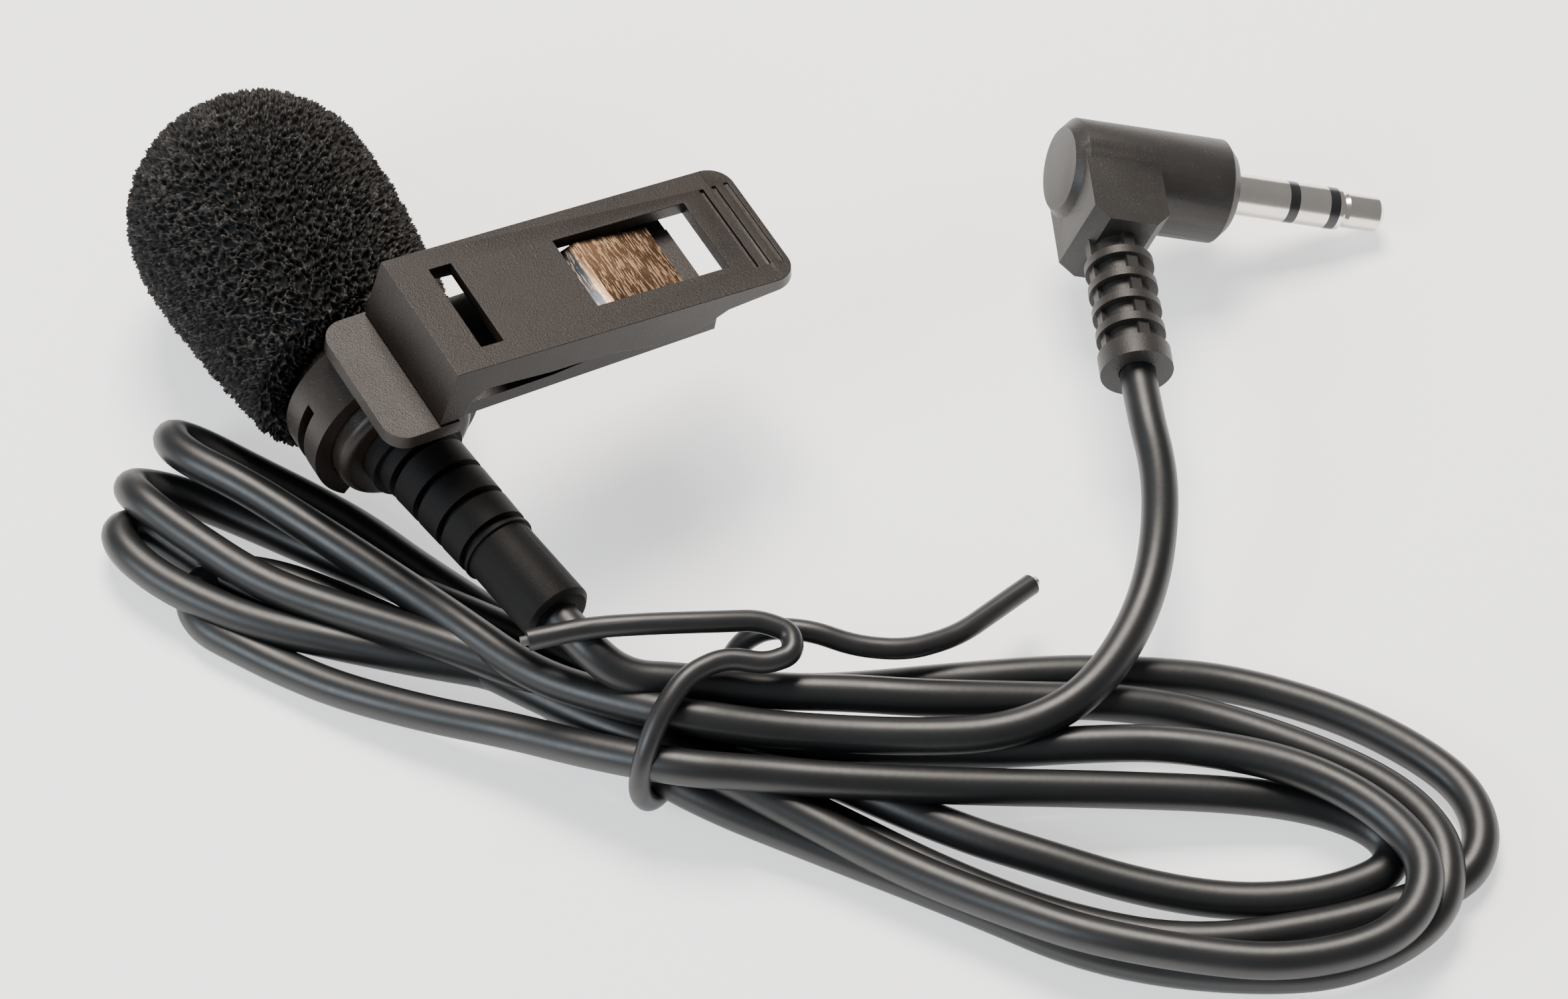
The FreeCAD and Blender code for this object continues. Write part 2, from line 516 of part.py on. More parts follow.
def upper_lever():
    """The pressed cover lever: a ridged jaw, side skirts, a slot, a spring window and three grip grooves."""
    body = DOC.addObject("PartDesign::Body", "clip_upper_lever")
    jaw = "ledge_top + jaw_clearance"
    layer(body, "Pad", "cover", "XZ_Plane", (
        ("-0.9", jaw), ("1.2", jaw), ("jaw_wall", "ridge_height - 4"), ("3", "ridge_height - 2.9"),
        ("8.8", "ridge_height - 3.6"), ("14", "ridge_height - 3.8"), ("hinge_reach - 2", "hinge_height - 1.1"),
        ("hinge_reach + 2", "hinge_height - 1"), ("25", "nose_height - 1.5"),
        ("nose_reach + 0.2", "nose_height - 1"), ("nose_reach", "nose_height"), ("0", "ridge_height")), "clip_width")
    round_edges(body, "nose_corners", "nose_corner", lambda edge: upright_near(edge, number("nose_reach")))
    under = "ridge_height - plate_wall"
    layer(body, "Pocket", "hollow", "XZ_Plane", (
        ("jaw_wall", "0"), ("nose_reach - nose_wall", "0"), ("nose_reach - nose_wall", "nose_height - plate_wall"),
        ("jaw_wall", under)), "clip_width - skirt_wall * 2")
    for name, start, length, width in (("spring_slot", "slot_start", "slot_length", "slot_width"),
                                       ("spring_window", "window_start", "window_length", "window_width")):
        layer(body, "Pocket", name, "XY_Plane", box_outline(start, "-(%s) / 2" % width, "%s + %s" % (start, length),
              width + " / 2"), "plate_wall * 6", "ridge_height")
    fall = "(ridge_height - nose_height) * grip_start / nose_reach"
    groove = layer(body, "Pocket", "grip_groove", "XY_Plane", box_outline(
        "grip_start - grip_width / 2", "-grip_length / 2", "grip_start + grip_width / 2", "grip_length / 2"),
        "plate_wall * 2", "ridge_height - %s - grip_depth + plate_wall" % fall)
    repeat(body, "grip_grooves", groove, "H_Axis", "grip_pitch", 3)
    layer(body, "Pocket", "pin_sockets", "XZ_Plane", ("hinge_reach", "hinge_height", "pin_radius"),
          "clip_width - pin_inset * 2")
    on_clip(body)
    keep("clip_upper_lever", body)


def hinge_pin():
    """The steel pin held by the upper lever's skirts, on which the lower lever's ears turn."""
    body = DOC.addObject("PartDesign::Body", "hinge_pin")
    layer(body, "Pad", "pin", "XZ_Plane", ("hinge_reach", "hinge_height", "pin_radius"),
          "clip_width - pin_inset * 2")
    on_clip(body)
    keep("hinge_pin", body)


def clip_spring():
    """A bent steel strip under the cover: flat against it, down to a bend, up to a ridge and down to the rest."""
    body = DOC.addObject("PartDesign::Body", "clip_spring")
    fall = "(ridge_height - nose_height) / (nose_reach - nose_wall - jaw_wall)"
    under = "ridge_height - plate_wall - %s * (%s - jaw_wall)"
    stations = (("spring_start", under % (fall, "spring_start")), ("spring_bend", under % (fall, "spring_bend")),
                ("spring_bend + 2", "ridge_height - 3.2"), ("spring_ridge", "ridge_height - 1.75"),
                ("spring_end", "rest_top + 1.15"))
    lower = tuple((x, "%s - spring_thickness" % z) for x, z in reversed(stations))
    layer(body, "Pad", "strip", "XZ_Plane", tuple(reversed(stations + lower)), "spring_width")
    on_clip(body)
    keep("clip_spring", body)


def hank_solid():
    """The folded cord as one solid: smooth closed outlines stacked as the strands lie, with the eye left open."""
    def slab(points, low, high):
        """One layer of the hank."""
        curve = Part.BSplineCurve()
        curve.interpolate([hank_point(a, b, low) for a, b in points], True)
        face = Part.Face(Part.Wire(curve.toShape()))
        return face.extrude(Vector(0, 0, high - low))

    whole = slab(*HANK_LAYERS[0])
    for points, low, high in HANK_LAYERS[1:]:
        whole = whole.fuse(slab(points, low, high))
    eye = slab(EYE_OUTLINE, -1, 12)
    shaped("cord_hank", whole.cut(eye))


def cords():
    """The cord's tail inside the boot, the two free leads and the hank between them."""
    radius = number("cord_radius")
    boot_end = tail_point(number("boot_length"))
    inside = [mic_point(0, number("cord_inside")), mic_point(0, number("boot_pivot")), boot_end]
    shaped("cord_in_boot", tube(inside, radius, "cord_in_boot"))
    out = [boot_end, tail_point(number("boot_length + cord_radius * 2"))]
    shaped("cord_mic_lead", tube(out + [hank_point(*point) for point in MIC_LEAD], radius, "cord_mic_lead"))
    hank_solid()
    mouth = -number("relief_end")
    plug_end = [plug_point(0, mouth - 3.6), plug_point(0.02, mouth + number("cord_depth"))]
    lead = [hank_point(*point) for point in PLUG_LEAD] + plug_end
    shaped("cord_plug_lead", tube(lead, radius, "cord_plug_lead"))


def tie():
    """The plastic-covered wire twisted round the hank, with its steel core bare at both cut ends."""
    route = [hank_point(*point) for point in TIE_ROUTE]
    shaped("tie_wire", tube(route, number("tie_radius"), "tie_wire"))
    for name, end, before in (("tie_core_left", route[0], route[1]), ("tie_core_right", route[-1], route[-2])):
        core = Part.makeCylinder(number("core_radius"), number("core_length"), end, end - before)
        shaped(name, core)


def plug_moulding():
    """The right-angle body: a barrel, a square block and a ribbed strain relief in one moulding."""
    body = DOC.addObject("PartDesign::Body", "plug_moulding")
    spun(body, "Revolution", "barrel", "XY_Plane", (
        ("-body_rear", "0"), ("body_front", "0"), ("body_front", "body_radius - body_chamfer"),
        ("body_front - body_chamfer", "body_radius"), ("body_chamfer - body_rear", "body_radius"),
        ("-body_rear", "body_radius - body_chamfer")), "H_Axis")
    layer(body, "Pad", "block", "XY_Plane", (
        ("-block_half", "0"), ("-block_half", "block_chamfer - block_end"), ("block_chamfer - block_half", "-block_end"),
        ("block_half - block_chamfer", "-block_end"), ("block_half", "block_chamfer - block_end"),
        ("block_half", "0")), "block_depth")
    spun(body, "Revolution", "relief", "XY_Plane", (
        ("0", "-relief_end"), ("ring_outer", "-relief_end"), ("ring_outer", "relief_ring - relief_end"),
        ("relief_core", "relief_ring - relief_end"), ("relief_core", "-block_half"), ("0", "-block_half")), "V_Axis")
    rib = spun(body, "Revolution", "rib", "XY_Plane", box_outline(
        "0", "-rib_start - rib_thickness", "relief_rib", "-rib_start"), "V_Axis")
    repeat(body, "ribs", rib, "V_Axis", "rib_pitch", 4, backwards=True)
    low, high = "relief_ring / 2 - relief_end", "-block_end / 2"
    layer(body, "Pad", "side_spine", "XY_Plane", box_outline("-bridge_height", low, "-relief_core / 2", high),
          "spine_half * 2")
    layer(body, "Pad", "bridges", "XY_Plane", box_outline("-spine_half", low, "spine_half", high),
          "bridge_height * 2")
    spun(body, "Groove", "contact_bore", "XY_Plane", box_outline(
        "contact_rear", "0", "body_front + body_chamfer", "stem_radius"), "H_Axis")
    spun(body, "Groove", "cord_bore", "XY_Plane", box_outline(
        "0", "-relief_end - 1", "cord_radius", "cord_depth - relief_end"), "V_Axis")
    on_plug(body)
    keep("plug_moulding", body)


def contact(name, corners):
    """A piece of the plug turned about the contacts' axis; corners are (along, distance from the axis)."""
    body = DOC.addObject("PartDesign::Body", name)
    spun(body, "Revolution", name + "_turn", "XY_Plane", corners, "H_Axis")
    on_plug(body)
    keep(name, body)


def plug_contacts():
    """Sleeve, ring and tip with the insulators between them, each with its tube back into the moulding."""
    sleeve_end = "body_front + sleeve_length"
    ring_start = sleeve_end + " + insulator_length"
    ring_end = ring_start + " + ring_contact"
    tip_start = ring_end + " + insulator_length"
    contact("plug_sleeve", (
        ("contact_rear", "sleeve_bore"), (sleeve_end, "sleeve_bore"), (sleeve_end, "plug_radius"),
        ("body_front", "plug_radius"), ("body_front", "stem_radius"), ("contact_rear", "stem_radius")))
    for name, bore, tail, start, end in (
            ("plug_insulator_rear", "ring_tube", "sleeve_bore", sleeve_end, ring_start),
            ("plug_ring", "ring_bore", "ring_tube", ring_start, ring_end),
            ("plug_insulator_front", "rod_radius", "ring_bore", ring_end, tip_start)):
        contact(name, (("contact_rear", bore), (end, bore), (end, "plug_radius"), (start, "plug_radius"),
                       (start, tail), ("contact_rear", tail)))
    flange = tip_start + " + tip_flange"
    neck = flange + " + tip_neck"
    tip_end = tip_start + " + tip_length"
    contact("plug_tip", (
        ("contact_rear", "0"), (tip_end, "0"), (tip_end, "tip_radius - tip_chamfer"),
        (tip_end + " - tip_chamfer", "tip_radius"), (neck + " + tip_neck", "tip_radius"), (neck, "neck_radius"),
        (flange, "neck_radius"), (flange, "plug_radius"), (tip_start, "plug_radius"), (tip_start, "rod_radius"),
        ("contact_rear", "rod_radius")))


def check_and_write():
    """Stop on any failed object or bad shape, then write each sub-part to its own file."""
    DOC.recompute()
    for thing in DOC.Objects:
        if "Invalid" in thing.State or "Error" in thing.State:
            raise RuntimeError("%s is %s" % (thing.Name, thing.State))
    os.makedirs("parts", exist_ok=True)
    for piece in NODES:
        shape = piece.Shape
        if shape.isNull() or not shape.isValid() or len(shape.Solids) != 1:
            raise RuntimeError("%s has %d solids, valid %s" % (piece.Label, len(shape.Solids), shape.isValid()))
        shape.exportStep(os.path.join("parts", piece.Label + ".step"))
    print(len(NODES), "sub-parts written")


fill_sheet()
foam_windscreen()
microphone_body()
capsule_wiring()
mic_boot()
lower_lever()
upper_lever()
hinge_pin()
clip_spring()
cords()
tie()
plug_moulding()
plug_contacts()
check_and_write()
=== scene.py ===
import json
import math

import bmesh
import bpy
import numpy as np
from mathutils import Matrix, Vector


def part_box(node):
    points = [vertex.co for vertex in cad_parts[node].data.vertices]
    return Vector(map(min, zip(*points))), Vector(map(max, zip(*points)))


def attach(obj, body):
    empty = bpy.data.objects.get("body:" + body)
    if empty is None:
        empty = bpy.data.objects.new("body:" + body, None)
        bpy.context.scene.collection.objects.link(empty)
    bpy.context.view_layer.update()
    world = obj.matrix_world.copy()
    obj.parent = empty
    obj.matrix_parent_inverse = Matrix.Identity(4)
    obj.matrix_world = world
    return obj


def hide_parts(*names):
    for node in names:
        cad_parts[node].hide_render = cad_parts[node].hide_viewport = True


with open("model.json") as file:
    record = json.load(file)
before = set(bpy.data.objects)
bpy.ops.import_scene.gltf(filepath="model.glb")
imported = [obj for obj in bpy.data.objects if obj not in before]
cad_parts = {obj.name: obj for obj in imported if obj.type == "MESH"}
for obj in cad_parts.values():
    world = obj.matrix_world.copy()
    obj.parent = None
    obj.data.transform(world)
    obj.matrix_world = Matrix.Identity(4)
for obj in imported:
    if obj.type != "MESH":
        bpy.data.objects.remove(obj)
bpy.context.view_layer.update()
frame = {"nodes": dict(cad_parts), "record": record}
MM = 0.001

# The microphone's axis: x across, z up; ALONG is the mark that lengths on the microphone are measured from.
FOAM_LOW, FOAM_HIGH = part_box("foam_windscreen")
AXIS_X = (FOAM_LOW[0] + FOAM_HIGH[0]) / 2
AXIS_Z = (FOAM_LOW[2] + FOAM_HIGH[2]) / 2
FOAM_START = 24.3
ALONG = FOAM_LOW[1] - FOAM_START * MM
CORD_RADIUS = 1.5 * MM
# RIDGE_X: where the spring strip's ridge lies; the strip's painted highlight line and the turn of its painted
# reflection are placed here.
RIDGE_X = AXIS_X + 17.2 * MM
BOOT_LEAD = 3.0

# The cord's route, in mm: a along the hank, b across it, z up, from the boot to the plug.
LEAD_IN = ((-4.5, -0.9, 9.3), (0, -0.6, 8.5))
OUTER_FOLD = (
    (6.3, -0.5, 6.9), (12.7, -0.5, 6.7), (19.1, -0.9, 6.5), (28.2, -0.1, 5), (34.5, 0.3, 4.1),
    (41, -0.2, 3), (49.3, -3.5, 3), (55.5, -7, 3), (58.9, -11, 3), (59.4, -15, 3), (58.4, -18.4, 3),
    (55.3, -21.3, 3), (50.4, -23.5, 3), (44.9, -23.7, 2.5), (37.5, -22.6, 1.6), (30.3, -20.7, 1.5),
    (23, -17, 1.5), (12, -12.2, 1.9), (0, -7.5, 3.25),
)
NEAR_FOLD = (
    (-7, -1.6, 3.2), (-13.6, 3.7, 3), (-20.4, 5, 3), (-27.2, 6.6, 3), (-34.1, 8.5, 3), (-38.7, 10.7, 3),
    (-42.2, 12.9, 3), (-44.9, 15.4, 3), (-45.9, 18, 2.4), (-43.8, 19, 1.6), (-40, 16.2, 1.5),
    (-34.6, 12, 1.5), (-27.2, 9, 1.5), (-19, 7.6, 1.9), (-9, 3.4, 3.4), (0, 1, 5.9),
)
WIDE_FOLD = (
    (6, 0.9, 4.8), (12, 1.2, 4.1), (22, 2.4, 4), (30.2, 3.6, 3.3), (36.7, 3.9, 2.5), (43.4, 3.8, 1.6),
    (51.8, 1, 1.5), (58, -2.8, 1.5), (61.6, -6.4, 1.5), (62.6, -10.8, 1.5), (60.8, -14.6, 1.5),
    (55.7, -16.8, 1.5), (49.9, -18.7, 1.5), (39.4, -20.4, 1.5), (29.6, -18.3, 1.5), (20, -14, 1.5),
    (10, -8.5, 2.2), (0, -3.8, 3.25),
)
MIDDLE_FOLD = (
    (-8, 0.4, 4.6), (-17.5, 4.6, 5.4), (-27.2, 8.6, 4.6), (-31.8, 10.5, 4.5), (-35.1, 12.4, 4.5),
    (-38.4, 14.9, 4.5), (-41.2, 17.1, 4.5), (-43.9, 19.6, 4.4), (-45.2, 22, 3), (-42.5, 22.6, 1.6),
    (-39.4, 21.4, 1.5), (-35.6, 19.6, 1.5), (-27.5, 15.4, 1.5), (-17, 9.8, 2.2), (-7, 3, 4.6),
    (0, -2.2, 5.9),
)
TOP_FOLD = (
    (6, -3.2, 4.9), (12, -3.7, 4.4), (22, -4.5, 4.3), (32.2, -4.1, 5), (38.6, -4.1, 5), (47, -5.8, 5),
    (53.1, -9.1, 5), (56.9, -13.3, 5), (57.5, -16.7, 5), (56, -20.3, 5), (52.4, -22.7, 5), (46.1, -24, 5),
    (39.9, -23.4, 5), (31.7, -21.6, 4.8), (25.6, -18.6, 3.8), (17.6, -14.7, 3.3), (9, -10, 4),
    (0, -5.4, 5.6),
)
INNER_FOLD = (
    (-8, -1.2, 4.6), (-18, 5.8, 2.6), (-27.3, 11.6, 1.5), (-32.5, 13.9, 1.5), (-36.8, 14.6, 1.5),
    (-39.6, 12.6, 1.5), (-38.8, 9.4, 1.5), (-35, 7.1, 1.5), (-31.7, 5.2, 1.5), (-27.1, 2.7, 2),
    (-20.2, -0.1, 3), (-13.4, -2.3, 4), (-7.2, -5.3, 5.8), (0, -7.8, 7.2),
)
EYE_FOLD = (
    (5.9, -7.8, 6.4), (12, -8.2, 6), (22, -8.1, 5), (32.2, -7.7, 4), (42.8, -7.5, 3), (49.2, -7.9, 2),
    (53.4, -9.4, 1.6), (55.4, -11.4, 1.5), (55, -13.6, 1.5), (52, -15.2, 1.5), (47.6, -16.3, 1.5),
    (41.7, -16.4, 1.5), (34.7, -15.2, 2), (27.6, -13.1, 2.8), (21.2, -10.9, 3), (10, -5, 2.6),
    (0, -0.6, 3.25),
)
FAR_FOLD = (
    (-7, 3.4, 2.8), (-14, 9, 1.6), (-21.6, 14.8, 1.5), (-25.8, 18.4, 1.5), (-30, 21.2, 1.5),
    (-35.5, 24.4, 1.6), (-39.8, 26.4, 2.6), (-42.2, 26, 4.4), (-40.5, 22.9, 5.8), (-35.5, 19.9, 6),
    (-31, 16.8, 5.6), (-27.4, 14.2, 5.5), (-22.7, 10.6, 5.5), (-18.1, 6.8, 5.9), (-11.9, 1.4, 6.4),
    (-5.7, -1.6, 7.4), (0, -3.8, 8.5),
)
LEAD_OUT = (
    (5.9, -4.3, 7.5), (12, -4.4, 6.8), (18.5, -4.6, 6.7), (24.4, -4.4, 6.8), (28.9, -2.8, 6.9),
    (32.4, 0.1, 7.0), (35.1, 4.4, 7.1), (36.9, 9.0, 7.4), (37.8, 13.9, 8.2), (37.9, 18.8, 9.5),
)
FOLDS = OUTER_FOLD + NEAR_FOLD + WIDE_FOLD + MIDDLE_FOLD + TOP_FOLD + INNER_FOLD + EYE_FOLD + FAR_FOLD
HANK = LEAD_IN + FOLDS + LEAD_OUT

BOOT_PIVOT, BOOT_LENGTH, BOOT_TILT = 15.5, 19.75, math.radians(7.2)
HANK_ACROSS, HANK_ALONG, HANK_HEADING = 8.9, -12.0, math.radians(-30)
PLUG_ACROSS, PLUG_ALONG, PLUG_HEIGHT, PLUG_HEADING = 62.5, 12.4, 10.5, math.radians(-24)
RELIEF_END, RELIEF_LEAD, CORD_DEPTH = 20.3, 3.6, 6.0


def mic_point(across, along, up=0.0):
    """A point measured in mm from the microphone's axis and its mark, in metres."""
    return np.array((AXIS_X + across * MM, ALONG + along * MM, AXIS_Z + up * MM))


def hank_points(places):
    """Points of the hank's own frame turned and moved into the part's frame, in metres."""
    a, b, z = np.array(places, float).T
    cos, sin = math.cos(HANK_HEADING), math.sin(HANK_HEADING)
    x = AXIS_X + (HANK_ACROSS + a * cos - b * sin) * MM
    y = ALONG + (HANK_ALONG + a * sin + b * cos) * MM
    return np.stack((x, y, z * MM), axis=1)


def tail_point(distance):
    """A point on the boot's tilted axis, this far behind its bend."""
    return mic_point(distance * math.sin(BOOT_TILT), BOOT_PIVOT - distance * math.cos(BOOT_TILT))


def relief_point(distance):
    """A point on the plug's strain-relief axis, this far from the contacts' axis."""
    x = PLUG_ACROSS + distance * math.sin(PLUG_HEADING)
    y = PLUG_ALONG - distance * math.cos(PLUG_HEADING)
    return np.array((AXIS_X + x * MM, ALONG + y * MM, PLUG_HEIGHT * MM))


class Varying:
    """A value that varies over a surface; Python's operators add Math nodes to its finish."""

    def __init__(self, finish, socket):
        self.finish = finish
        self.socket = socket

    def math(self, operation, first, second=0.0):
        return self.finish.node("ShaderNodeMath", {"operation": operation}, {0: first, 1: second})

    def __add__(self, other):
        return self.math("ADD", self, other)

    def __sub__(self, other):
        return self.math("SUBTRACT", self, other)

    def __rsub__(self, other):
        return self.math("SUBTRACT", other, self)

    def __mul__(self, other):
        return self.math("MULTIPLY", self, other)

    def __pow__(self, other):
        return self.math("POWER", self, other)

    __radd__ = __add__
    __rmul__ = __mul__


class Finish:
    """A surface finish: a Principled shader, its constants, and the nodes that vary over it."""

    def __init__(self, name, **constants):
        self.material = bpy.data.materials.new(name)
        self.material.use_nodes = True
        self.tree = self.material.node_tree
        self.shader = self.tree.nodes["Principled BSDF"]
        for socket, value in constants.items():
            self.shader.inputs[socket.replace("_", " ")].default_value = value
        self.place = self.node("ShaderNodeTexCoord", {}, {}, "Object")

    def node(self, kind, settings, inputs, output=0):
        """Any node: its settings first, then its sockets, each a number, a colour or a Varying."""
        made = self.tree.nodes.new(kind)
        for name, value in settings.items():
            setattr(made, name, value)
        for name, value in inputs.items():
            self.feed(made.inputs[name], value)
        return Varying(self, made.outputs[output])

    def feed(self, socket, value):
        if isinstance(value, Varying):
            self.tree.links.new(value.socket, socket)
        else:
            socket.default_value = value

    def noise(self, size, detail=3.0, roughness=0.5, stretch=(1, 1, 1)):
        """Noise from 0 to 1 with grains of about this size in mm, longer along a stretched axis."""
        place = self.node("ShaderNodeMapping", {}, {"Vector": self.place, "Scale": [1 / s for s in stretch]})
        return self.node("ShaderNodeTexNoise", {}, {
            "Vector": place, "Scale": 1 / (size * MM), "Detail": detail, "Roughness": roughness})

    def ramp(self, value, *stops):
        """A value from 0 to 1 turned into a grey that follows (place, level) stops."""
        made = self.tree.nodes.new("ShaderNodeValToRGB")
        elements = made.color_ramp.elements
        for element, (place, level) in zip((elements[0], elements[1]), stops):
            element.position = place
            element.color = (level, level, level, 1)
        for place, level in stops[2:]:
            elements.new(place).color = (level, level, level, 1)
        self.feed(made.inputs[0], value)
        return Varying(self, made.outputs[0])

    def blend(self, factor, first, second):
        """One colour turning into another as the factor goes from 0 to 1."""
        made = self.tree.nodes.new("ShaderNodeMix")
        made.data_type = "RGBA"
        for socket, value in ((made.inputs[0], factor), (made.inputs[6], first), (made.inputs[7], second)):
            self.feed(socket, value)
        return Varying(self, made.outputs[2])

    def colour(self, value):
        self.feed(self.shader.inputs["Base Color"], value)

    def roughness(self, value):
        self.feed(self.shader.inputs["Roughness"], value)

    def bump(self, height, depth, strength=1.0):
        """Raise the surface by the height times a depth in mm."""
        self.feed(self.shader.inputs["Normal"], self.node("ShaderNodeBump", {}, {
            "Height": height, "Distance": depth * MM, "Strength": strength}))
        return self


def shade(red, green, blue):
    """A colour with full opacity."""
    return (red, green, blue, 1.0)


def grained_plastic(name, dark, light, grain, rough, gloss):
    """Spark-textured moulded plastic: fine pitted grain, faint paler flecks and a broad unevenness."""
    finish = Finish(name, IOR=gloss)
    fine = finish.noise(grain, 4, 0.6)
    broad = finish.noise(3.5, 3, 0.55)
    flecks = finish.ramp(finish.noise(0.35, 2, 0.6), (0.62, 0), (0.72, 1))
    finish.colour(finish.blend(broad * 0.5 + flecks * 0.35 + fine * 0.15, dark, light))
    finish.roughness(broad * 0.14 + fine * 0.1 + (rough - 0.1))
    return finish.bump(fine + flecks * 0.3, 0.035, 0.75).material


def cord_jacket():
    """Satin extruded jacket: nearly smooth, with faint lengthwise dulling and dust specks."""
    finish = Finish("satin_jacket", IOR=1.5)
    film = finish.noise(6, 3, 0.5)
    specks = finish.ramp(finish.noise(0.3, 2, 0.5), (0.7, 0), (0.76, 1))
    clean, dusty = shade(0.004, 0.0045, 0.005), shade(0.013, 0.014, 0.016)
    finish.colour(finish.blend(film * 0.5 + specks * 0.4, clean, dusty))
    finish.roughness(film * 0.16 + finish.noise(0.5, 2, 0.5) * 0.06 + 0.32)
    return finish.bump(finish.noise(0.5, 3, 0.5), 0.015, 0.5).material


def foam_webs():
    """Open-cell foam: painted shade leaves the hollows near black, and painted brown-grey glints light the
    webs towards their ridges, which are also glossier.
    """
    finish = Finish("open_cell_foam", IOR=1.35)
    ridge = finish.node("ShaderNodeAttribute", {"attribute_name": "ridge"}, {}, "Fac")
    patchy = finish.noise(1.1, 3, 0.6)
    # Painted glints in patches on the ridges, over painted shade in the hollows.
    level = (ridge ** 2.2) * (patchy * 1.3 + 0.1)
    finish.colour(finish.blend(level, shade(0.0005, 0.0005, 0.0005), shade(0.034, 0.029, 0.026)))
    finish.roughness(0.72 - ridge * 0.3)
    return finish.bump(finish.noise(0.15, 2, 0.5), 0.03, 0.6).material


def bright_metal(name, tint, rough, scratch=0.05):
    """Plated or rolled metal: long fine scratches in its gloss and a faint uneven tarnish."""
    finish = Finish(name, Metallic=1.0)
    lines = finish.noise(0.12, 3, 0.6, (1, 14, 1))
    tarnish = finish.noise(2.2, 3, 0.55)
    darker = shade(*(0.72 * part for part in tint))
    finish.colour(finish.blend(tarnish, shade(*tint), darker))
    finish.roughness(tarnish * 0.1 + lines * scratch * 2 + rough)
    return finish.bump(lines, 0.008, 0.5).material


def spring_steel():
    """Spring strip: a blue-grey painted reflection on the curved rise, the brown-gold of the flat plate past
    the ridge, a painted highlight line along the ridge, all scratched.
    """
    finish = Finish("spring_strip_painted_reflection", Metallic=1.0)
    across = finish.node("ShaderNodeSeparateXYZ", {}, {0: finish.place}, "X")
    past_ridge = (across - RIDGE_X) * 900
    # Painted reflection: blue-grey on the curved rise before the ridge, giving way past it to the brown-gold
    # of the flat plate.
    painted_reflection_swap = finish.ramp(past_ridge, (0.1, 0), (0.35, 1))
    # Painted highlight: a bright line painted along the strip's ridge.
    ridge = finish.ramp(past_ridge, (0, 0), (0.15, 1), (0.4, 0))
    scratch = finish.ramp(finish.noise(0.16, 3, 0.6, (1, 9, 1)), (0.52, 0), (0.62, 1))
    mottle = finish.noise(0.5, 3, 0.6)
    # The blue-grey end of this blend is painted reflection.
    base = finish.blend(painted_reflection_swap, shade(0.035, 0.042, 0.05), shade(0.12, 0.072, 0.042))
    # The scratches are real marks; the ridge's share of this brightening is the painted highlight.
    finish.colour(finish.blend(scratch * 0.45 + ridge * 0.5, base, shade(0.4, 0.28, 0.18)))
    finish.roughness(mottle * 0.2 + scratch * 0.12 + 0.22)
    return finish.bump(scratch + mottle * 0.5, 0.01, 0.6).material


def plain_finish(name, colour, rough):
    """A finish for pieces seldom seen: a tint that wanders a little, with a fine tooth."""
    finish = Finish(name)
    drift = finish.noise(1.2, 3, 0.5)
    finish.colour(finish.blend(drift, shade(*(0.8 * part for part in colour)), shade(*colour)))
    finish.roughness(drift * 0.15 + rough)
    return finish.bump(finish.noise(0.2, 2, 0.5), 0.01, 0.4).material


def put_mesh(name, points, faces, body, material):
    """A new smooth-shaded mesh that rides on a body."""
    mesh = bpy.data.meshes.new(name)
    mesh.from_pydata(points.tolist(), [], faces)
    mesh.polygons.foreach_set("use_smooth", np.ones(len(mesh.polygons), bool))
    mesh.materials.append(material)
    piece = bpy.data.objects.new(name, mesh)
    bpy.context.collection.objects.link(piece)
    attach(piece, body)
    return piece


def refined(name, node, body, material, edge=0.0, angle=32):
    """A CAD piece with its triangles joined, its hard edges rounded by this many mm and its curves smooth."""
    mesh = frame["nodes"][node].data.copy()
    mesh.name = name
    work = bmesh.new()
    work.from_mesh(mesh)
    bmesh.ops.remove_doubles(work, verts=work.verts, dist=1e-6)
    bmesh.ops.dissolve_limit(work, angle_limit=math.radians(0.6), verts=work.verts, edges=work.edges)
    work.to_mesh(mesh)
    work.free()
    mesh.polygons.foreach_set("use_smooth", np.ones(len(mesh.polygons), bool))
    mesh.set_sharp_from_angle(angle=math.radians(angle))
    mesh.materials.clear()
    mesh.materials.append(material)
    piece = bpy.data.objects.new(name, mesh)
    bpy.context.collection.objects.link(piece)
    if edge:
        bevel = piece.modifiers.new("edges", "BEVEL")
        bevel.width = edge * MM
        bevel.segments = 2
        bevel.limit_method = "ANGLE"
        bevel.angle_limit = math.radians(angle)
        bevel.harden_normals = True
    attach(piece, body)
    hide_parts(node)
    return piece


def worley(places, pitch, seed):
    """Distances in pitches to the three nearest seeds of a jittered lattice with one seed to a cell."""
    rng = np.random.default_rng(seed)
    jitter = rng.random((32, 32, 32, 3))
    scaled = places / pitch
    home = np.floor(scaled).astype(int)
    near = np.full((3, len(places)), 9.0)
    for step in np.ndindex(3, 3, 3):
        cell = home + np.array(step) - 1
        wrapped = cell % 32
        seed_place = cell + jitter[wrapped[:, 0], wrapped[:, 1], wrapped[:, 2]]
        away = np.linalg.norm(scaled - seed_place, axis=1)
        near = np.sort(np.vstack((near, away)), axis=0)[:3]
    return near


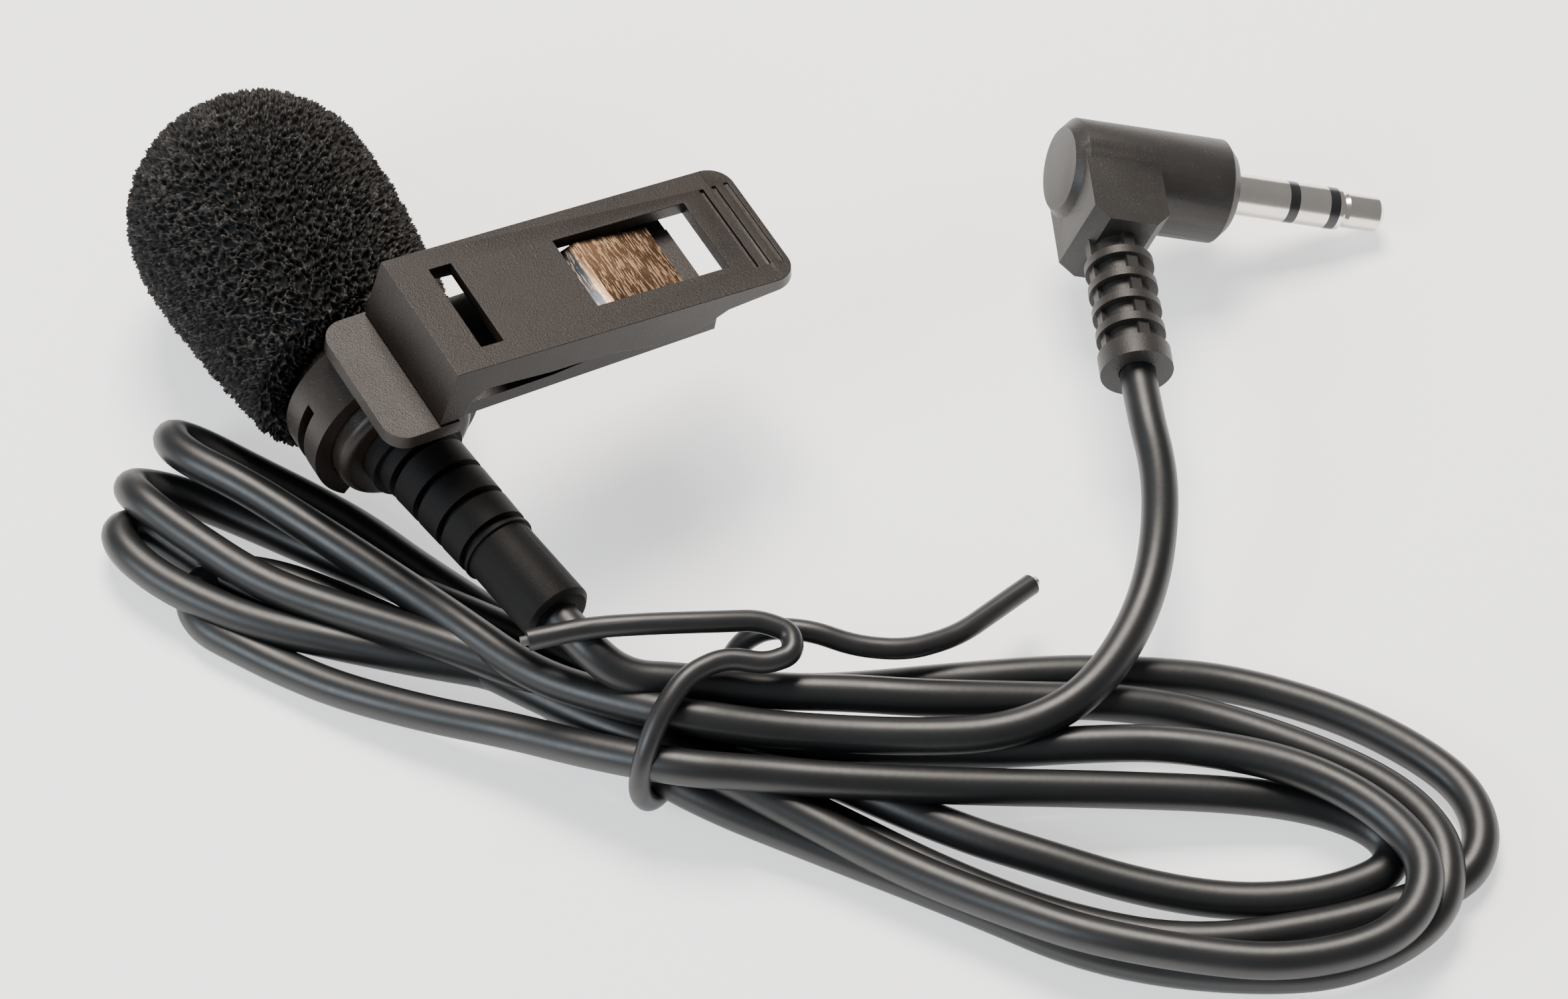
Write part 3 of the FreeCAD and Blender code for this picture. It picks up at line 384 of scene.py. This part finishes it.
def foam_profile(steps):
    """Radius and length along the windscreen, in mm: a taper from the base, then a blunt rounded nose."""
    base, widest, waist, length = 9.1, 10.85, 17.6, 28.5
    rise = np.linspace(0, 1, steps, endpoint=False)
    rear = np.stack((base + (widest - base) * np.sin(rise * math.pi / 2), waist * rise + 0.1), axis=1)
    rear[:, 0] -= 1.4 * np.clip(1 - rise / 0.07, 0, 1) ** 2
    angle = np.linspace(0, math.pi / 2, steps)
    reach = length - waist
    nose = np.stack((widest * np.cos(angle) ** 0.84, waist + reach * np.sin(angle) ** 0.92), axis=1)
    return np.vstack((rear, nose))


def foam_bore():
    """Radius and length along the bore, in mm: out from its end's middle, down its wall, across the base."""
    bore, depth, mouth = 6.4, 18.3, 0.15
    end = np.stack((np.linspace(0.3, bore, 14), np.full(14, depth)), axis=1)
    wall = np.stack((np.full(40, bore), np.linspace(depth, mouth, 41)[1:]), axis=1)
    face = np.stack((np.linspace(bore, 7.4, 5)[1:], np.full(4, mouth)), axis=1)
    return np.vstack((end, wall, face))


def foam_piece():
    """The windscreen: a turned surface pushed in or out along its normals by how near each point lies
    to a wall between two cells, or to a corner of three."""
    around, rows = 640, 350
    cell, fine_cell = 0.86, 0.5
    profile = foam_profile(150)[:-1]
    steps = np.concatenate(([0], np.cumsum(np.linalg.norm(np.diff(profile, axis=0), axis=1))))
    even = np.linspace(0, steps[-1], rows)
    bore = foam_bore()
    radius = np.append(bore[:, 0], np.interp(even, steps, profile[:, 0]))
    along = np.append(bore[:, 1], np.interp(even, steps, profile[:, 1]))
    slope = np.stack((np.gradient(along), -np.gradient(radius)), axis=1)
    slope /= np.linalg.norm(slope, axis=1)[:, None]
    turn = np.linspace(0, 2 * math.pi, around, endpoint=False)
    ring = np.stack((np.cos(turn), np.zeros(around), np.sin(turn)), axis=1)
    forward = np.array((0.0, 1.0, 0.0))
    surface = (radius[:, None, None] * ring + along[:, None, None] * forward).reshape(-1, 3)
    outward = (slope[:, :1, None] * ring + slope[:, 1:, None] * forward).reshape(-1, 3)
    warp = 0.16 * np.sin(surface[:, [1, 2, 0]] * 5.1) + 0.1 * np.sin(surface[:, [2, 0, 1]] * 9.7)
    near = worley(surface + warp, cell, 7)
    fine = worley(surface + warp * 2, fine_cell, 11)
    web = np.clip(1 - (near[1] - near[0]) / 0.2, 0, 1)
    corner = np.clip(1 - (near[2] - near[0]) / 0.2, 0, 1)
    hair = np.clip(1 - (fine[1] - fine[0]) / 0.2, 0, 1)
    height = -0.78 + 0.5 * web ** 0.7 + 0.34 * corner + 0.08 * hair * web
    points = surface + outward * height[:, None]
    tip = len(points)
    root = tip + 1
    points = np.vstack((points, (0, along[-1] - 0.2, 0), (0, along[0] + 0.2, 0)))
    index = np.arange(tip).reshape(len(radius), around)
    after = np.roll(index, -1, axis=1)
    quads = np.stack((index[:-1], index[1:], after[1:], after[:-1]), axis=-1).reshape(-1, 4)
    nose_cap = np.stack((index[-1], np.full(around, tip), after[-1]), axis=1)
    bore_cap = np.stack((np.full(around, root), index[0], after[0]), axis=1)
    place = points * MM + np.array((AXIS_X, FOAM_LOW[1], AXIS_Z))
    faces = quads.tolist() + nose_cap.tolist() + bore_cap.tolist()
    piece = put_mesh("foam_cells", place, faces, "windscreen", foam_webs())
    # This ridge measure also places the foam's painted glints on the webs and the painted shade in its
    # hollows.
    ridge = np.append(np.clip(0.75 * web + 0.5 * corner + 0.15 * hair - 0.1, 0, 1), (0.3, 0.3))
    layer = piece.data.attributes.new("ridge", "FLOAT", "POINT")
    layer.data.foreach_set("value", ridge.astype(np.float32))
    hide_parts("foam_windscreen")


def cord_piece(finish):
    """The whole cord as one smooth spline from the boot's mouth, through the hank, into the strain relief."""
    route = np.vstack((tail_point(BOOT_LENGTH), tail_point(BOOT_LENGTH + BOOT_LEAD), hank_points(HANK),
                       relief_point(RELIEF_END + RELIEF_LEAD), relief_point(RELIEF_END - CORD_DEPTH)))
    curve = bpy.data.curves.new("cord_line", "CURVE")
    curve.dimensions = "3D"
    curve.bevel_depth = CORD_RADIUS
    curve.bevel_resolution = 6
    curve.use_fill_caps = True
    spline = curve.splines.new("NURBS")
    spline.points.add(len(route) - 1)
    spline.points.foreach_set("co", np.column_stack((route, np.ones(len(route)))).ravel())
    spline.order_u = 3
    spline.use_endpoint_u = True
    spline.resolution_u = 8
    curve.resolution_u = 8
    curve.materials.append(finish)
    piece = bpy.data.objects.new("cord", curve)
    bpy.context.collection.objects.link(piece)
    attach(piece, "microphone")
    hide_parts("cord_mic_lead", "cord_hank", "cord_plug_lead")
    return piece


def camera():
    """A long lens looking down at the hank, thirty degrees round from the microphone's length."""
    data = bpy.data.cameras.new("camera")
    data.lens = 137.5
    data.sensor_width = 36
    azimuth, elevation = math.radians(-30), math.radians(55)
    back = Vector((math.sin(azimuth) * math.cos(elevation), -math.cos(azimuth) * math.cos(elevation),
                   math.sin(elevation)))
    looker = bpy.data.objects.new("camera", data)
    bpy.context.collection.objects.link(looker)
    looker.location = Vector((AXIS_X + 25 * MM, ALONG, 6 * MM)) + back * 0.48
    looker.rotation_euler = (-back).to_track_quat("-Z", "Y").to_euler()
    data.clip_start = 0.01
    bpy.context.scene.camera = looker


def softbox(name, place, size, power, colour):
    """A large square light aimed at the middle of the object."""
    data = bpy.data.lights.new(name, "AREA")
    data.size = size
    data.energy = power
    data.color = colour
    lamp = bpy.data.objects.new(name, data)
    bpy.context.collection.objects.link(lamp)
    lamp.location = place
    lamp.rotation_euler = (Vector((0.01, -0.02, 0.0)) - Vector(place)).to_track_quat("-Z", "Y").to_euler()


def studio():
    """A pale floor, a bright even surround, a warm softbox behind and above, and a cool one from the left."""
    mesh = bpy.data.meshes.new("floor")
    mesh.from_pydata([(-3, -3, 0), (3, -3, 0), (3, 3, 0), (-3, 3, 0)], [], [(0, 1, 2, 3)])
    floor = bpy.data.objects.new("floor", mesh)
    bpy.context.collection.objects.link(floor)
    finish = Finish("pale_floor", Roughness=0.9, Emission_Strength=0.9)
    finish.shader.inputs["Base Color"].default_value = shade(0.93, 0.93, 0.93)
    finish.shader.inputs["Emission Color"].default_value = shade(1, 1, 1)
    mesh.materials.append(finish.material)
    world = bpy.data.worlds.new("surround")
    world.use_nodes = True
    world.node_tree.nodes["Background"].inputs[0].default_value = shade(1, 1, 1)
    world.node_tree.nodes["Background"].inputs[1].default_value = 0.32
    bpy.context.scene.world = world
    softbox("warm_top", (0.2, 0.4, 0.8), 0.4, 17, (1.0, 0.91, 0.83))
    softbox("cool_left", (-0.7, 0.0, 0.45), 0.3, 5, (0.82, 0.92, 1.0))


def slot_of(node):
    """The record's material slot for a node."""
    return next(part["material_slot"] for part in frame["record"]["subparts"] if part["node"] == node)


def clip_plastic():
    return grained_plastic(
        "clip_plastic", shade(0.006, 0.0042, 0.0034), shade(0.022, 0.0145, 0.0105), 0.14, 0.36, 1.36)


def boot_rubber():
    return grained_plastic(
        "boot_rubber", shade(0.002, 0.002, 0.002), shade(0.008, 0.0075, 0.0075), 0.2, 0.55, 1.22)


def plug_plastic():
    return grained_plastic(
        "plug_plastic", shade(0.012, 0.011, 0.0105), shade(0.038, 0.034, 0.031), 0.18, 0.44, 1.4)


def moulded_pieces(clip, rubber):
    """Copies of the moulded, pressed and wound pieces, with their edges rounded by the last number in mm."""
    moulding, strip = plug_plastic(), spring_steel()
    covering = plain_finish("tie_covering", (0.012, 0.012, 0.013), 0.35)
    for name, node, body, finish, edge in (
            ("upper_lever", "clip_upper_lever", "clip_upper", clip, 0.35),
            ("lower_lever", "clip_lower_lever", "clip_lower", clip, 0.14),
            ("boot", "mic_boot", "microphone", rubber, 0.2),
            ("barrel", "mic_barrel", "microphone", clip, 0.0),
            ("right_angle_body", "plug_moulding", "microphone", moulding, 0.2),
            ("spring_strip", "clip_spring", "clip_upper", strip, 0.03),
            ("tie", "tie_wire", "microphone", covering, 0.0)):
        refined(name, node, body, finish, edge)
        slot_of(node)


def plain_pieces(rubber, jacket):
    """Finishes for the pieces that keep their CAD shape."""
    nickel = bright_metal("nickel_plate", (0.86, 0.81, 0.75), 0.1)
    steel = bright_metal("plain_steel", (0.62, 0.6, 0.58), 0.28)
    solder = bright_metal("solder", (0.75, 0.75, 0.76), 0.25)
    gloss = plain_finish("gloss_black", (0.012, 0.012, 0.013), 0.25)
    finishes = {
        "plug_sleeve": nickel, "plug_ring": nickel, "plug_tip": nickel, "plug_insulator_rear": gloss,
        "plug_insulator_front": gloss, "hinge_pin": steel, "tie_core_right": steel, "cord_crimp": steel,
        "tie_core_left": plain_finish("dull_wire", (0.08, 0.075, 0.07), 0.5),
        "electret_capsule": bright_metal("drawn_can", (0.8, 0.8, 0.79), 0.2), "front_grille": gloss,
        "dust_screen": plain_finish("screen_cloth", (0.03, 0.03, 0.03), 0.7), "capsule_gasket": rubber,
        "capsule_board": plain_finish("board_green", (0.03, 0.16, 0.06), 0.4),
        "solder_joint_signal": solder, "solder_joint_ground": solder,
        "lead_wire_signal": plain_finish("red_insulation", (0.4, 0.02, 0.02), 0.4),
        "lead_wire_ground": bright_metal("copper_screen", (0.75, 0.42, 0.25), 0.3),
        "rear_bush": rubber, "cord_in_boot": jacket,
    }
    for node, finish in finishes.items():
        mesh = frame["nodes"][node].data
        mesh.materials.clear()
        mesh.materials.append(finish)


camera()
studio()
rubber_finish, jacket_finish = boot_rubber(), cord_jacket()
moulded_pieces(clip_plastic(), rubber_finish)
plain_pieces(rubber_finish, jacket_finish)
cord = cord_piece(jacket_finish)
foam_piece()
